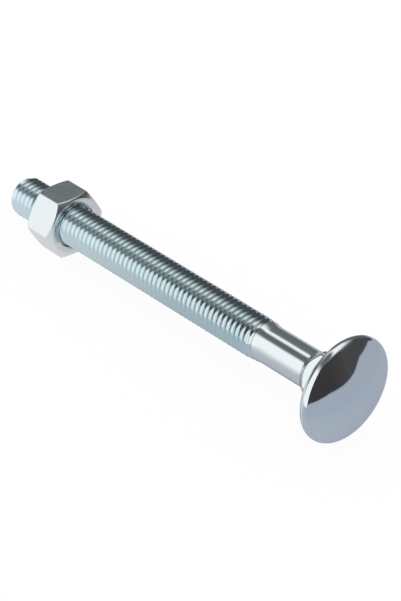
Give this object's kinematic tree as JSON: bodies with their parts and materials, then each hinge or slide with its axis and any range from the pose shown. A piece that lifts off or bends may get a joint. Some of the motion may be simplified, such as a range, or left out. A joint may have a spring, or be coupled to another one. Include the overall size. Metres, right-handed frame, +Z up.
{
  "type": "carriage bolt",
  "caption": "Domed-head carriage bolt with a square neck, a long rolled thread and a hexagon nut near its tip, bright zinc plated, lying at rest.",
  "frame": {"origin": "middle of the footprint, on the floor that the bolt lies on", "axes": "+Z up; +X along the bolt from its head to its tip, seen from above; the bolt's own axis dips towards the tip by 2.98 degrees, because the head is wider than the nut and both touch the floor"},
  "size_m": [0.1368, 0.0302, 0.0302],
  "materials": {
    "bolt_zinc": "bright blue-white zinc plating over rolled and forged steel",
    "nut_zinc": "bright blue-white zinc plating over pressed steel"
  },
  "bodies": {
    "bolt": {"bolt": "bolt_zinc"},
    "nut": {"hex_nut": "nut_zinc"}
  },
  "joints": [
    {"name": "nut_travel", "type": "slide", "parent": "bolt", "child": "nut", "axis": [0.9986, 0, -0.052], "range_m": [-0.077, 0.021]}
  ]
}
